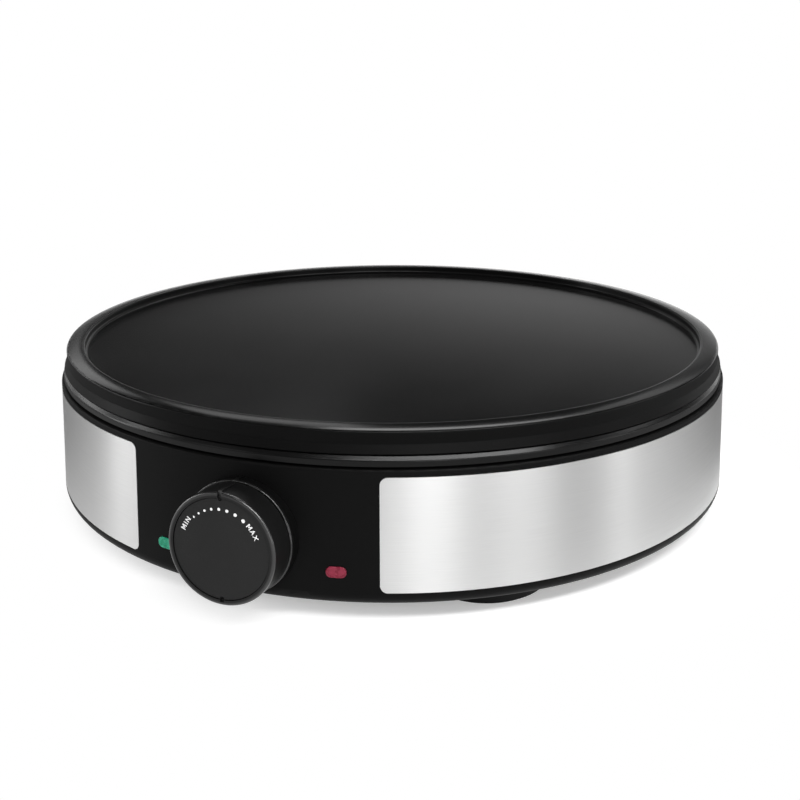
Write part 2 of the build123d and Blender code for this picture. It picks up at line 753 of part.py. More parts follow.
def make_capillary():
    start = in_knob_frame(0, capillary_up, -thermostat_back)
    leave = in_knob_frame(0, capillary_up, -thermostat_back - capillary_lead)
    way = bulb_y - leave.Y
    return tube(
        [
            start, leave, (capillary_x / 2, leave.Y + way / 3, start.Z),
            (0.95 * capillary_x, leave.Y + 0.7 * way, start.Z + capillary_rise / 4),
            (capillary_x, bulb_y, start.Z + capillary_rise), (capillary_x, bulb_y, land_z),
            (bulb_len / 2, bulb_y, land_z),
        ],
        capillary_r,
    )


# ---- Pilot lamps -------------------------------------------------------------------------------------

def make_lens(azimuth):
    front = extrude(SlotOverall(lens_w, lens_h), -lens_seat - lens_proud)
    front = fillet(front.edges().sort_by(Axis.Z)[-4:], lens_round)
    flange = extrude(SlotOverall(lens_w + 2 * lens_flange, lens_h + 2 * lens_flange), -lens_flange_t)
    lens = Pos(0, 0, lens_proud) * front + Pos(0, 0, -lens_seat) * flange
    lens += rod(lens_tail_r, -lens_back - lens_tail_len, -lens_back)
    return wall_frame(azimuth, lamp_z) * lens


def make_lamp_holder(azimuth):
    back = -lens_back - holder_len
    holder = rod(lens_tail_r + clear + holder_t, back, -lens_back)
    holder -= rod(lens_tail_r + clear, back + holder_t, -lens_back)
    return wall_frame(azimuth, lamp_z) * holder


def make_neon_lamp(azimuth):
    front = -lens_back - lens_tail_len
    glass = fillet(rod(lens_tail_r, front - neon_len, front).edges(), lens_tail_r / 3)
    return wall_frame(azimuth, lamp_z) * glass


# ---- Cord gland, terminal block and wiring -----------------------------------------------------------

block_y = leg_foot.Y + block_behind
port_y = block_y - block_d / 2


def make_cord_gland():
    neck_low = -wall_t - gland_boss_proud - gland_boss_in
    back = neck_low - gland_back_t
    tip = gland_flange_t + gland_nose_len
    gland = turned(
        [
            (gland_bore_r, back), (gland_back_r, back), (gland_back_r, neck_low), (gland_neck_r, neck_low),
            (gland_neck_r, 0), (gland_flange_r, 0), (gland_flange_r, gland_flange_t),
            (gland_nose_r, gland_flange_t), (gland_tip_r, tip), (gland_bore_r, tip),
        ],
        [((gland_flange_r, gland_flange_t), gland_round), ((gland_tip_r, tip), gland_round)],
    )
    return gland_frame * gland


def make_terminal_block():
    body = Pos(0, block_y, 0) * block(block_w, block_d, cover_top, cover_top + block_h)
    body = fillet(body.edges().filter_by(Axis.Z), block_round)
    for x in block_screw_x:
        well = rod(m3_head_r + clear, cover_top + block_h - 2 * m3_head_h, cover_top + block_h)
        hole = rod(m3_r + clear, cover_top + block_floor_t, cover_top + block_h)
        body -= Pos(x, block_y, 0) * (well + hole)
    return body


def make_block_screws():
    seat = cover_top + block_h - 2 * m3_head_h
    length = seat - cover_top - block_floor_t - drill
    body = Rot(180, 0, 0) * screw(m3_r, length, m3_head_r, m3_head_h)
    return [Pos(x, block_y, seat) * body for x in block_screw_x]


def make_spade_connectors():
    """The push-on connectors on the thermostat's two blades."""
    tip = -thermostat_back - spade_len
    body = block(connector_w, connector_t, spade_end, spade_end + connector_len)
    body -= block(spade_w + 2 * clear, spade_t + 2 * clear, tip - clear, spade_end + connector_len)
    return [knob_frame * Pos(x, 0, 0) * body for x in (-spade_x, spade_x)]


def make_pin_connectors():
    """The sleeves that join the element's terminal pins to their wires."""
    body = rod(sleeve_r, sleeve_low, sleeve_low + sleeve_len)
    body -= rod(pin_r + clear, pin_end - clear, sleeve_low + sleeve_len)
    return [Pos(x, leg_foot.Y, 0) * body for x in (-leg_foot.X, leg_foot.X)]


def make_live_wire():
    """From the terminal block to the thermostat."""
    leave = in_knob_frame(spade_x, 0, spade_end - spade_lead)
    return tube(
        [
            (leg_foot.X, port_y, port_z), (leg_foot.X, port_y - port_lead, port_z),
            (0.8 * lane_x, port_y - 2 * port_lead, port_z - wire_drop),
            (lane_x, port_y - 4 * port_lead, wire_z), (lane_x, lane_y, wire_z),
            (0.85 * lane_x, -2 * lane_y, wire_z),
            (0.65 * lane_x, leave.Y + 1.4 * spade_lead, wire_z + wire_drop),
            leave, in_knob_frame(spade_x, 0, spade_end),
        ],
        wire_r,
    )


def make_switched_wire():
    """From the thermostat to the fuse, and from the fuse to the element."""
    leave = in_knob_frame(-spade_x, 0, spade_end - spade_lead)
    to_fuse = tube(
        [
            in_knob_frame(-spade_x, 0, spade_end), leave,
            (-0.8 * spade_x, leave.Y + 1.4 * spade_lead, wire_z + wire_drop),
            (-0.4 * spade_x, -2.2 * lane_y, wire_z), (0, -lane_y, wire_z), (0, 0, wire_z),
        ],
        wire_r,
    )
    from_fuse = tube(
        [
            (0, fuse_len, wire_z), (0, fuse_len + lane_y, wire_z),
            (leg_foot.X, leg_foot.Y - 4 * port_lead, wire_z),
            (leg_foot.X, leg_foot.Y, wire_z), (leg_foot.X, leg_foot.Y, sleeve_low),
        ],
        wire_r,
    )
    return [to_fuse, from_fuse]


def make_thermal_fuse():
    body = Pos(0, fuse_len / 2, wire_z) * Rot(90, 0, 0) * rod(fuse_r, -fuse_len / 2, fuse_len / 2)
    return fillet(body.edges(), fuse_r / 3)


def make_neutral_wire():
    """From the terminal block to the element."""
    x = -leg_foot.X
    return tube([(x, port_y, port_z), (x, leg_foot.Y, port_z), (x, leg_foot.Y, sleeve_low)], wire_r)


def make_lamp_lead(side):
    """A sleeve that carries both leads of a pilot lamp to the terminal block."""
    frame = wall_frame(side * lamp_azimuth, lamp_z)
    back = -lens_back - holder_len
    leave = frame.from_local_coords(Vector(0, 0, back - lamp_lead))
    return tube(
        [
            frame.from_local_coords(Vector(0, 0, back)), leave,
            (side * lead_lane_x, leave.Y + 2 * lamp_lead, wire_z),
            (side * (lead_lane_x + lead_bow), -2 * lane_y, wire_z),
            (side * lead_lane_x, 1.5 * lane_y, wire_z),
            (side * 0.9 * lead_lane_x, port_y - 5 * port_lead, wire_z),
            (side * block_end_x, port_y - port_lead, port_z), (side * block_end_x, port_y, port_z),
        ],
        lead_r,
    )


def make_earth_lug():
    """A ring under the heat shield with a barrel for the earth wire."""
    lug = rod(lug_r, shield_low - lug_t, shield_low)
    barrel = Rot(0, 90, 0) * rod(barrel_r, lug_r - root, lug_r - root + barrel_len)
    lug += Pos(0, 0, shield_low - barrel_r - clear) * barrel
    return Pos(lug_x, lug_y, 0) * (lug - rod(m3_r + clear, shield_low - lug_t, shield_low))


def make_earth_screw():
    length = lug_t + shield_t + nut_h + tip_past
    return Pos(lug_x, lug_y, shield_low - lug_t) * screw(m3_r, length, m3_head_r, m3_head_h)


def make_earth_nut():
    nut = Pos(0, 0, shield_top) * extrude(RegularPolygon(nut_r, 6), nut_h)
    return Pos(lug_x, lug_y, 0) * (nut - rod(m3_r + clear, shield_top, shield_top + nut_h))


def make_earth_wire():
    z = shield_low - barrel_r - clear
    end_x = lug_x + lug_r - root + barrel_len
    start_y = port_y - port_lead
    climb = z - port_z
    return tube(
        [
            (0, port_y, port_z), (0, start_y, port_z),
            (0.05 * end_x, (start_y + lug_y) / 2, port_z + 0.35 * climb),
            (0.2 * end_x, 0.2 * start_y + 0.8 * lug_y, port_z + 0.8 * climb),
            (0.5 * end_x, lug_y, z), (end_x, lug_y, z),
        ],
        wire_r,
    )


NODES = {
    "hot_plate": make_hot_plate(),
    "heating_element": make_heating_element(),
    "element_terminals": make_terminal_pins(),
    "element_straps": make_element_straps(),
    "strap_screws": make_strap_screws(),
    "thermostat_bulb": make_thermostat_bulb(),
    "capillary_tube": make_capillary(),
    "bulb_strap": make_bulb_strap(),
    "bulb_screw": make_bulb_screw(),
    "heat_shield": make_heat_shield(),
    "plate_standoffs": make_plate_standoffs(),
    "pillar_screws": make_pillar_screws(),
    "trim_ring": make_trim_ring(),
    "housing": make_housing(),
    "steel_panel_right": make_steel_panel(right_panel_start),
    "steel_panel_left": make_steel_panel(left_panel_start),
    "base_cover": make_base_cover(),
    "cover_screws": make_cover_screws(),
    "knob": make_knob(),
    "dial_disc": make_dial_disc(),
    "knob_clip": make_knob_clip(),
    "thermostat_spindle": make_thermostat_spindle(),
    "thermostat_bracket": make_thermostat_bracket(),
    "thermostat_body": make_thermostat_body(),
    "thermostat_screws": make_thermostat_screws(),
    "lens_green": make_lens(-lamp_azimuth),
    "lens_red": make_lens(lamp_azimuth),
    "lamp_holder_left": make_lamp_holder(-lamp_azimuth),
    "lamp_holder_right": make_lamp_holder(lamp_azimuth),
    "neon_lamp_left": make_neon_lamp(-lamp_azimuth),
    "neon_lamp_right": make_neon_lamp(lamp_azimuth),
    "cord_gland": make_cord_gland(),
    "terminal_block": make_terminal_block(),
    "block_screws": make_block_screws(),
    "spade_connectors": make_spade_connectors(),
    "pin_connectors": make_pin_connectors(),
    "live_wire": make_live_wire(),
    "switched_wire": make_switched_wire(),
    "thermal_fuse": make_thermal_fuse(),
    "neutral_wire": make_neutral_wire(),
    "earth_wire": make_earth_wire(),
    "earth_lug": make_earth_lug(),
    "earth_screw": make_earth_screw(),
    "earth_nut": make_earth_nut(),
    "lamp_lead_left": make_lamp_lead(-1),
    "lamp_lead_right": make_lamp_lead(1),
}
for azimuth, place in zip(foot_azimuths, foot_frames()):
    NODES[f"foot_pad_{azimuth:.0f}"] = make_foot_pad(place)

os.makedirs("parts", exist_ok=True)
for name, solids in NODES.items():
    export_step(Compound(children=list(solids)) if isinstance(solids, list) else solids, f"parts/{name}.step")
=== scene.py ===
from math import cos, pi, radians, sin, tan

import bmesh
import bpy
from mathutils import Matrix, Vector


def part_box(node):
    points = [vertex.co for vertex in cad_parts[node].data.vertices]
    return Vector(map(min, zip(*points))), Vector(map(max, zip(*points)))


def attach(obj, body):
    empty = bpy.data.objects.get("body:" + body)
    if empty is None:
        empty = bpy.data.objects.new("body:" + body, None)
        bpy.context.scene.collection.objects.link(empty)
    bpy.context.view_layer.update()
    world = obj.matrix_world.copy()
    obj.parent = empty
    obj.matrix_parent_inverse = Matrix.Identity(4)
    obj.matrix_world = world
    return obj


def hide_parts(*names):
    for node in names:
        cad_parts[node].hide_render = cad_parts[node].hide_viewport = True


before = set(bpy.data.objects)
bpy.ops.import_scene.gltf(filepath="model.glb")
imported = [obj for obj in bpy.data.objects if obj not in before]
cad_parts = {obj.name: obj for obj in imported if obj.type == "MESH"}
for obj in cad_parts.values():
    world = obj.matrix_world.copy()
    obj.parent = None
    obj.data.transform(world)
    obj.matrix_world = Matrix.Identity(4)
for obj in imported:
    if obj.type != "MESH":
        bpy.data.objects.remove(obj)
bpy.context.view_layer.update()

# The looks of an electric crepe maker, in metres, in the frame of its solids: +Z up, the knob faces -Y.
# An azimuth is in degrees from the front (-Y), positive towards +X.

scene = bpy.context.scene
MM = 0.001

# ---- Sizes taken from the solids --------------------------------------------------------------------

_, plate_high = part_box("hot_plate")
ring_low, ring_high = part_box("trim_ring")
PLATE_TOP = 74.4 * MM               # level that the depths of the rim and the dish are measured from
SKIRT_R = plate_high.x
RING_R = ring_high.x
RING_TOP = ring_high.z
COLLAR_LOW = ring_low.z
AXIS_LEAN = radians(3.0)            # the knob's axis rises by this much towards the front

# Hot plate
PLATE_R = 150.3 * MM
RIM_W = 8.0 * MM
RIM_CROWN = (                       # in from the rim's edge, down, and rounding
    (4.8 * MM, 0.06 * MM, 26.0 * MM),
    (1.8 * MM, 0.40 * MM, 17.0 * MM),
    (0.0, 0.80 * MM, 0.9 * MM),
)
RIM_IN_ROUND = 0.8 * MM
RIM_IN_DOWN = 0.03 * MM
DISH_DEPTH = 3.7 * MM
DISH_ROUND = 1.3 * MM
WEB_T = 4.5 * MM
SKIRT_H = 9.0 * MM
SKIRT_STRAIGHT = 5.5 * MM
SKIRT_W = 5.0 * MM
LAND_IN, LAND_OUT, LAND_H = 92.0 * MM, 108.0 * MM, 3.0 * MM
BOSSES_BELOW = (                    # name, azimuths, radius of their circle, radius and height of a boss
    ("pillar_bosses", (45, 135, 225, 315), 70.0 * MM, 7.0 * MM, 14.5 * MM),
    ("strap_bosses", (0, 75, 150, 210, 285), 86.0 * MM, 5.0 * MM, 7.0 * MM),
)
BOSS_SUNK = 0.25 * MM               # how far a boss reaches up into the plate
AS_CAST_NEAR, AS_CAST_FAR = 0.4 * MM, 1.4 * MM   # how far the rougher, unturned faces reach
AS_CAST_ROUGH = 0.42
TURNED_ROUGH = (0.17, 0.19)         # from patch to patch
TURNED_SHINE = 0.26                 # weight of the clear coat on the turned faces
TURNED_COAT = {"Coat_IOR": 1.25, "Coat_Roughness": 0.18}

# How round pieces are drawn
SEGMENTS = 600                      # round a turned piece
BOSS_SIDES, DOT_SIDES = 48, 32
ARC_STEP = radians(9.0)             # of a rounding's arc
LEAD = 0.12 * MM                    # straight lead on either side of a rounding
SOFT, HARD = 0.8 * MM, 0.25 * MM    # roundings of edges that hardly show
SEAM = 0.002 * MM                   # points nearer than this are one

# Trim ring
RING_H = 4.2 * MM
RING_W = 5.3 * MM
RING_ROUND = 0.3 * MM
RING_BEVEL_IN, RING_BEVEL_DOWN = 1.45 * MM, 1.75 * MM
RING_BEVEL_ROUND = 1.0 * MM
GROOVE_DEPTH = 1.3 * MM
GROOVE_H = 0.8 * MM
COLLAR_T = 2.0 * MM

# Knob and its boss, and the scale on the knob
BOSS_EDGE = (21.7 * MM, 12.6 * MM, 1.6 * MM)   # radius, depth behind the knob's face, width that is polished
KNOB_EDGE = (21.3 * MM, 0.2 * MM, 1.3 * MM)
EDGE_POLISH = 2.0                   # how quickly the polish grows towards the edge
EDGE_ROUGH = 0.3
EDGE_COAT = {"Coat_IOR": 1.62, "Coat_Roughness": EDGE_ROUGH}
KNOB_POINT = Vector((0.0, -0.171666, 0.033025))   # where the knob's axis meets its front face
DISC_SUNK = 0.4 * MM
MARK_T = 0.03 * MM                  # thickness of the printed marks
DOT_COUNT = 8
DOT_R = 15.1 * MM                   # radius of the row of dots
DOT_FIRST, DOT_LAST = -44.7, 36.8   # degrees from 12 o'clock
DOT_SPREAD = 0.184                  # how much the steps between the dots grow
DOT_SMALL, DOT_LARGE = 0.38 * MM, 0.70 * MM
LETTER_H = 1.85 * MM
LETTER_BOLD = 0.03                  # how much a letter's strokes are thickened, as a share of its size
LETTER_ORDER = Vector((1.0, 7.3, 53.1))   # raising a letter shuffles its faces, and this way sorts them
DRAWN_LETTERS = {                   # corners of letters whose strokes would cross if thickened
    "M": (
        (0, 0), (0.15, 0), (0.15, 0.46), (0.35, 0.10), (0.55, 0.46), (0.55, 0), (0.70, 0),
        (0.70, 0.70), (0.53, 0.70), (0.35, 0.37), (0.17, 0.70), (0, 0.70),
    ),
}
WORDS = (                           # word, radius of its letters' middles, degrees from 12 o'clock
    ("MIN", 16.1 * MM, (-66.6, -60.3, -54.2)),
    ("MAX", 15.3 * MM, (48.2, 56.6, 64.8)),
)


# ---- Building node trees ----------------------------------------------------------------------------

class Graph:
    """Adds nodes to a node tree. An input may be a plain value or another node's output."""

    def __init__(self, tree):
        self.tree = tree

    def add(self, kind, *inputs, out=0, **settings):
        """Adds a node, sets its inputs in order and by name, where None skips one, and returns an output."""
        named = settings.pop("named", {})
        node = self.add_node(kind, **settings)
        for socket, value in zip(node.inputs, inputs):
            self.feed(socket, value)
        for label, value in named.items():
            self.feed(node.inputs[label], value)
        return node.outputs[out]

    def add_node(self, kind, **settings):
        """Adds a node and returns the node itself."""
        node = self.tree.nodes.new(kind)
        for key, value in settings.items():
            setattr(node, key, value)
        return node

    def feed(self, socket, value):
        if isinstance(value, bpy.types.NodeSocket):
            self.tree.links.new(value, socket)
        elif value is not None:
            socket.default_value = value

    def math(self, operation, *inputs, clamp=False):
        return self.add("ShaderNodeMath", *inputs, operation=operation, use_clamp=clamp)

    def ramp(self, value, low, high, to_low=0.0, to_high=1.0, smooth=True):
        kind = "SMOOTHSTEP" if smooth else "LINEAR"
        return self.add("ShaderNodeMapRange", value, low, high, to_low, to_high, interpolation_type=kind)

    def span(self, mask, low, high):
        """A number that goes from low to high as a mask goes from 0 to 1."""
        return self.ramp(mask, 0.0, 1.0, low, high, smooth=False)

    def mix(self, factor, a, b):
        """A colour between a and b."""
        node = self.add_node("ShaderNodeMix", data_type="RGBA")
        for socket, value in zip((node.inputs[0], node.inputs[6], node.inputs[7]), (factor, a, b)):
            self.feed(socket, value)
        return node.outputs[2]

    def over(self, base, mask, share, colour):
        """A colour laid over a base where a mask is, by a share from 0 to 1."""
        return self.mix(self.math("MULTIPLY", mask, share), base, colour)

    def between(self, factor, a, b):
        """A number between a and b."""
        share_a = self.math("MULTIPLY", self.math("SUBTRACT", 1.0, factor), a)
        return self.math("ADD", share_a, self.math("MULTIPLY", factor, b))

    def length(self, a, b):
        """The length of a step that goes a one way and b across it."""
        squares = self.math("ADD", self.math("MULTIPLY", a, a), self.math("MULTIPLY", b, b))
        return self.math("SQRT", squares)

    def split(self, vector):
        """The three coordinates of a vector."""
        node = self.add_node("ShaderNodeSeparateXYZ")
        self.feed(node.inputs[0], vector)
        return node.outputs


def node_group(name, kind, inputs, outputs):
    """A new group with named inputs, each (name, type, default), and named outputs, each (name, type)."""
    tree = bpy.data.node_groups.new(name, kind)
    for label, socket_type, default in inputs:
        socket = tree.interface.new_socket(label, in_out="INPUT", socket_type=socket_type)
        if default is not None:
            socket.default_value = default
    for label, socket_type in outputs:
        tree.interface.new_socket(label, in_out="OUTPUT", socket_type=socket_type)
    graph = Graph(tree)
    given = graph.add_node("NodeGroupInput")
    result = graph.add_node("NodeGroupOutput")
    return graph, given.outputs, result.inputs


FLOAT, INTEGER, VECTOR = "NodeSocketFloat", "NodeSocketInt", "NodeSocketVector"
GEOMETRY, MATERIAL = "NodeSocketGeometry", "NodeSocketMaterial"


# ---- Effects that several finishes share ------------------------------------------------------------

def fine_grain_group():
    """Spark-eroded or sprayed grain: a fine height, and a slow tone from 0 to 1 for patches."""
    g, given, result = node_group(
        "fine_grain", "ShaderNodeTree",
        [("Vector", VECTOR, None), ("Scale", FLOAT, 1500.0), ("Patch scale", FLOAT, 30.0)],
        [("Height", FLOAT), ("Speck", FLOAT), ("Patch", FLOAT)],
    )
    fine = g.add("ShaderNodeTexNoise", named={
        "Vector": given["Vector"], "Scale": given["Scale"], "Detail": 3.0, "Roughness": 0.6})
    cells = g.add("ShaderNodeTexVoronoi", named={"Vector": given["Vector"], "Scale": given["Scale"]})
    g.feed(result["Height"], g.math("MULTIPLY_ADD", cells, 0.5, fine))
    g.feed(result["Speck"], g.ramp(fine, 0.5, 0.72))
    slow = g.add("ShaderNodeTexNoise", named={
        "Vector": given["Vector"], "Scale": given["Patch scale"], "Detail": 2.0, "Roughness": 0.5})
    g.feed(result["Patch"], g.ramp(slow, 0.2, 0.8))
    return g.tree


def ring_lines_group():
    """Lines that run round the vertical axis, as brushing or turning leaves them."""
    g, given, result = node_group(
        "ring_lines", "ShaderNodeTree",
        [("Vector", VECTOR, None), ("Lines up", FLOAT, 3000.0), ("Lines out", FLOAT, 0.0),
         ("Breaks", FLOAT, 12.0)],
        [("Height", FLOAT), ("Tone", FLOAT)],
    )
    x, y, z = g.split(given["Vector"])
    around = g.math("ARCTAN2", x, g.math("MULTIPLY", y, -1.0))
    out = g.length(x, y)
    place = g.add(
        "ShaderNodeCombineXYZ", g.math("MULTIPLY", around, given["Breaks"]),
        g.math("MULTIPLY", out, given["Lines out"]), g.math("MULTIPLY", z, given["Lines up"]),
    )
    fine = g.add("ShaderNodeTexNoise", named={
        "Vector": place, "Scale": 1.0, "Detail": 4.0, "Roughness": 0.7})
    slow = g.add("ShaderNodeTexNoise", named={
        "Vector": place, "Scale": 0.21, "Detail": 2.0, "Roughness": 0.5})
    g.feed(result["Height"], fine)
    g.feed(result["Tone"], g.ramp(slow, 0.3, 0.7))
    return g.tree


def edge_wear_group():
    """A mask along a round edge at a radius and height, broken up so that it comes and goes."""
    g, given, result = node_group(
        "edge_wear", "ShaderNodeTree",
        [("Vector", VECTOR, None), ("Radius", FLOAT, 0.1), ("Height", FLOAT, 0.0), ("Width", FLOAT, 0.001),
         ("Broken", FLOAT, 0.5)],
        [("Mask", FLOAT)],
    )
    x, y, z = g.split(given["Vector"])
    off_r = g.math("SUBTRACT", g.length(x, y), given["Radius"])
    off_z = g.math("SUBTRACT", z, given["Height"])
    away = g.length(off_r, off_z)
    near = g.math("SUBTRACT", 1.0, g.math("DIVIDE", away, given["Width"]), clamp=True)
    patches = g.add("ShaderNodeTexNoise", named={
        "Vector": given["Vector"], "Scale": 90.0, "Detail": 5.0, "Roughness": 0.65})
    missing = g.math("MULTIPLY", g.ramp(patches, 0.35, 0.65), given["Broken"])
    kept = g.math("SUBTRACT", 1.0, missing, clamp=True)
    g.feed(result["Mask"], g.math("MULTIPLY", near, kept))
    return g.tree


FINE_GRAIN = fine_grain_group()
RING_LINES = ring_lines_group()
EDGE_WEAR = edge_wear_group()


# ---- Finishes ---------------------------------------------------------------------------------------

class Finish(Graph):
    """A material with one Principled shader, whose plain values stay on the shader's own sockets."""

    def __init__(self, name, **plain):
        self.material = bpy.data.materials.new(name)
        self.material.use_nodes = True
        super().__init__(self.material.node_tree)
        self.shader = self.tree.nodes["Principled BSDF"]
        for label, value in plain.items():
            self.feed(self.shader.inputs[label.replace("_", " ")], value)
        self.place = self.add("ShaderNodeTexCoord", out=3)

    def effect(self, tree, **values):
        """Places a shared effect on the piece's own coordinates and returns its outputs."""
        node = self.add_node("ShaderNodeGroup", node_tree=tree)
        self.feed(node.inputs["Vector"], self.place)
        for label, value in values.items():
            self.feed(node.inputs[label.replace("_", " ")], value)
        return node.outputs

    def colour(self, value):
        self.feed(self.shader.inputs["Base Color"], value)

    def roughness(self, value):
        self.feed(self.shader.inputs["Roughness"], value)

    def coat(self, weight):
        self.feed(self.shader.inputs["Coat Weight"], weight)

    def bump(self, height, strength, depth, under=None):
        """A bump of a depth in metres, on top of another one where that is given."""
        normal = self.add("ShaderNodeBump", named={
            "Strength": strength, "Distance": depth, "Height": height, "Normal": under})
        self.feed(self.shader.inputs["Normal"], normal)
        return normal


def rgb(red, green, blue):
    return (red, green, blue, 1.0)


def grey(value):
    return (value, value, value, 1.0)


def non_stick_coat():
    """Sprayed non-stick coat on a casting: a fine speckle over faint turning lines, and rougher on the faces
    that weren't turned, which are the skirt and the rim's inner wall."""
    f = Finish("non_stick_coat", Specular_IOR_Level=0.075, **TURNED_COAT)
    grain = f.effect(FINE_GRAIN, Scale=1900.0, Patch_scale=22.0)
    lines = f.effect(RING_LINES, Lines_up=0.0, Lines_out=1400.0, Breaks=0.8)
    wear = f.effect(EDGE_WEAR, Radius=PLATE_R, Height=PLATE_TOP, Width=1.6 * MM, Broken=0.6)
    base = f.mix(grain["Patch"], grey(0.0016), grey(0.0022))
    specked = f.over(base, grain["Speck"], 0.3, grey(0.006))
    f.colour(f.over(specked, wear["Mask"], 0.4, grey(0.012)))
    x, y, _ = f.split(f.place)
    out = f.length(x, y)
    skirt = f.ramp(out, PLATE_R - AS_CAST_NEAR, PLATE_R)
    off_wall = f.math("ABSOLUTE", f.math("SUBTRACT", out, PLATE_R - RIM_W))
    wall = f.ramp(off_wall, AS_CAST_NEAR, AS_CAST_FAR, 1.0, 0.0)
    turned = f.span(grain["Patch"], *TURNED_ROUGH)
    f.roughness(f.between(f.math("MAXIMUM", skirt, wall), turned, AS_CAST_ROUGH))
    f.coat(f.ramp(out, PLATE_R - AS_CAST_NEAR, PLATE_R, TURNED_SHINE, 0.0))
    under = f.bump(lines["Height"], strength=0.04, depth=0.02 * MM)
    f.bump(grain["Height"], strength=0.08, depth=0.03 * MM, under=under)
    return f.material


def moulding(name, tone, rough, specular, grain_scale=2300.0, grain_depth=0.02 * MM, worn=None, edge=None):
    """Moulded black plastic with a spark-eroded grain, rubbed a little along a worn edge, given by its
    radius, height and width. An edge about the knob's axis, as in KNOB_EDGE, is polished bright."""
    f = Finish(name, Specular_IOR_Level=specular, **(EDGE_COAT if edge else {}))
    grain = f.effect(FINE_GRAIN, Scale=grain_scale, Patch_scale=26.0)
    base = f.mix(grain["Patch"], grey(tone * 0.85), grey(tone * 1.15))
    base = f.over(base, grain["Speck"], 0.25, grey(tone * 2.2))
    roughness = f.span(grain["Patch"], rough - 0.03, rough + 0.04)
    if worn:
        radius, height, width = worn
        wear = f.effect(EDGE_WEAR, Radius=radius, Height=height, Width=width, Broken=0.7)
        base = f.over(base, wear["Mask"], 0.4, grey(tone * 3.0))
        roughness = f.math("MULTIPLY_ADD", wear["Mask"], -0.12, roughness)
    if edge:
        radius, depth, width = edge
        turn = (pi / 2 - AXIS_LEAN, 0, 0)
        about = f.add("ShaderNodeMapping", f.place, KNOB_POINT, turn, vector_type="TEXTURE")
        polish = f.effect(
            EDGE_WEAR, Vector=about, Radius=radius, Height=-depth, Width=width, Broken=0.15)
        bright = f.math("MULTIPLY", polish["Mask"], EDGE_POLISH, clamp=True)
        roughness = f.between(bright, roughness, EDGE_ROUGH)
        f.coat(bright)
    f.colour(base)
    f.roughness(roughness)
    f.bump(grain["Height"], strength=0.4, depth=grain_depth)
    return f.material


def brushed_steel():
    """Stainless sheet brushed along its length, which runs round the housing."""
    f = Finish("brushed_steel", Metallic=1.0, Anisotropic=0.85, Anisotropic_Rotation=0.25)
    lines = f.effect(RING_LINES, Lines_up=5200.0, Lines_out=0.0, Breaks=9.0)
    patches = f.effect(FINE_GRAIN, Scale=900.0, Patch_scale=14.0)
    bright = f.mix(lines["Height"], rgb(0.58, 0.58, 0.577), rgb(0.72, 0.72, 0.717))
    f.colour(f.over(bright, patches["Patch"], 0.25, grey(0.69)))
    f.roughness(f.span(lines["Tone"], 0.36, 0.42))
    along = f.add("ShaderNodeTangent", direction_type="RADIAL", axis="Z")
    f.feed(f.shader.inputs["Tangent"], along)
    f.bump(lines["Height"], strength=0.25, depth=0.012 * MM)
    return f.material


def pilot_lens(name, deep, bright):
    """Tinted lens with fine prisms moulded inside, given as a bump, and a tone that changes at random from
    patch to patch between a deep and a bright colour.
    """
    f = Finish(name, Specular_IOR_Level=0.25, Transmission_Weight=0.1)
    grain = f.effect(FINE_GRAIN, Scale=1100.0, Patch_scale=420.0)
    f.colour(f.mix(grain["Patch"], deep, bright))
    f.roughness(f.span(grain["Patch"], 0.22, 0.34))
    f.bump(grain["Patch"], strength=0.3, depth=0.12 * MM)
    return f.material


def rubber(name, tone):
    """Moulded rubber, a little dusty in patches."""
    f = Finish(name, Specular_IOR_Level=0.25)
    grain = f.effect(FINE_GRAIN, Scale=1300.0, Patch_scale=60.0)
    dusty = f.mix(grain["Patch"], grey(tone), grey(tone * 1.8))
    f.colour(f.over(dusty, grain["Speck"], 0.3, grey(tone * 3.0)))
    f.roughness(f.span(grain["Patch"], 0.78, 0.92))
    f.bump(grain["Height"], strength=0.5, depth=0.04 * MM)
    return f.material


def metal(name, light, dark, rough, scale=700.0, lines=0.0):
    """Bare or plated metal with a slight stain, and turning lines where it is spun or drawn."""
    f = Finish(name, Metallic=1.0)
    grain = f.effect(FINE_GRAIN, Scale=scale, Patch_scale=70.0)
    f.colour(f.mix(grain["Patch"], light, dark))
    f.roughness(f.span(grain["Patch"], rough - 0.05, rough + 0.08))
    under = None
    if lines:
        turned = f.effect(RING_LINES, Lines_up=lines, Lines_out=lines, Breaks=3.0)
        under = f.bump(turned["Height"], strength=0.25, depth=0.02 * MM)
    f.bump(grain["Height"], strength=0.15, depth=0.02 * MM, under=under)
    return f.material


def dielectric(name, light, dark, rough, specular=0.5, scale=1600.0, depth=0.02 * MM):
    """Insulation, ceramic or glass-filled plastic with a fine surface and a slow change of tone."""
    f = Finish(name, Specular_IOR_Level=specular)
    grain = f.effect(FINE_GRAIN, Scale=scale, Patch_scale=90.0)
    f.colour(f.mix(grain["Patch"], light, dark))
    f.roughness(f.span(grain["Speck"], rough, rough + 0.12))
    f.bump(grain["Height"], strength=0.3, depth=depth)
    return f.material


